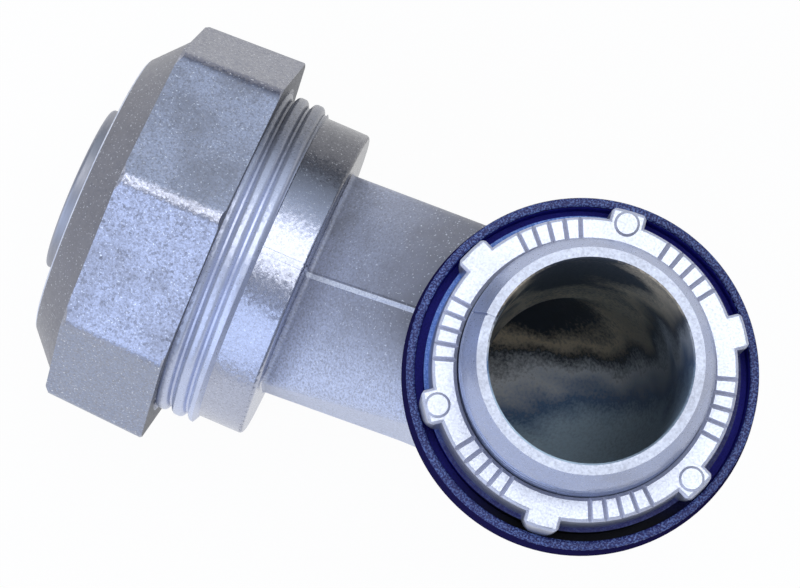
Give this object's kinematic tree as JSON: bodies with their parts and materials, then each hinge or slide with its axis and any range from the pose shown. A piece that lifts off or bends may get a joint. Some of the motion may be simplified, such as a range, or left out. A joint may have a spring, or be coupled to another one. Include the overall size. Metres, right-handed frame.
{
  "type": "elbow conduit connector",
  "caption": "Right-angle die-cast connector joining flexible metal conduit to a box: elbow body, octagonal gland nut, threaded hub, sealing gasket and lugged locknut.",
  "frame": {"origin": "on the hub axis, in the plane of the shoulder that seats the gasket", "axes": "+Z along the hub axis out of its mouth; the gland axis runs along -X from the hub axis, below the shoulder"},
  "size_m": [0.0636, 0.0374, 0.0542],
  "materials": {
    "zinc": "bare die-cast zinc, satin",
    "plated_steel": "zinc-plated steel",
    "nylon": "natural nylon",
    "blue_plastic": "moulded blue plastic"
  },
  "bodies": {
    "elbow": {"elbow_body": "zinc", "ferrule": "plated_steel"},
    "ring": {"sealing_ring": "nylon"},
    "nut": {"gland_nut": "zinc"},
    "seal": {"gasket": "blue_plastic"},
    "lock": {"locknut": "zinc"}
  },
  "joints": [
    {"name": "ring_travel", "type": "slide", "parent": "elbow", "child": "ring", "axis": [-1, 0, 0], "range_m": [-0.0016, 0.004]},
    {"name": "nut_turn", "type": "hinge", "parent": "ring", "child": "nut", "pos_m": [-0.04, 0, -0.02], "axis": [-1, 0, 0], "range_deg": [-360, 900]},
    {"name": "gasket_travel", "type": "slide", "parent": "elbow", "child": "seal", "axis": [0, 0, 1], "range_m": [0, 0.0073]},
    {"name": "locknut_turn", "type": "hinge", "parent": "seal", "child": "lock", "pos_m": [0, 0, 0.006], "axis": [0, 0, 1], "range_deg": [0, 1440]}
  ],
  "couplings": [
    {"joint": "ring_travel", "follows": "nut_turn", "m_per_rad": 0.00025266},
    {"joint": "gasket_travel", "follows": "locknut_turn", "m_per_rad": 0.00028875}
  ]
}
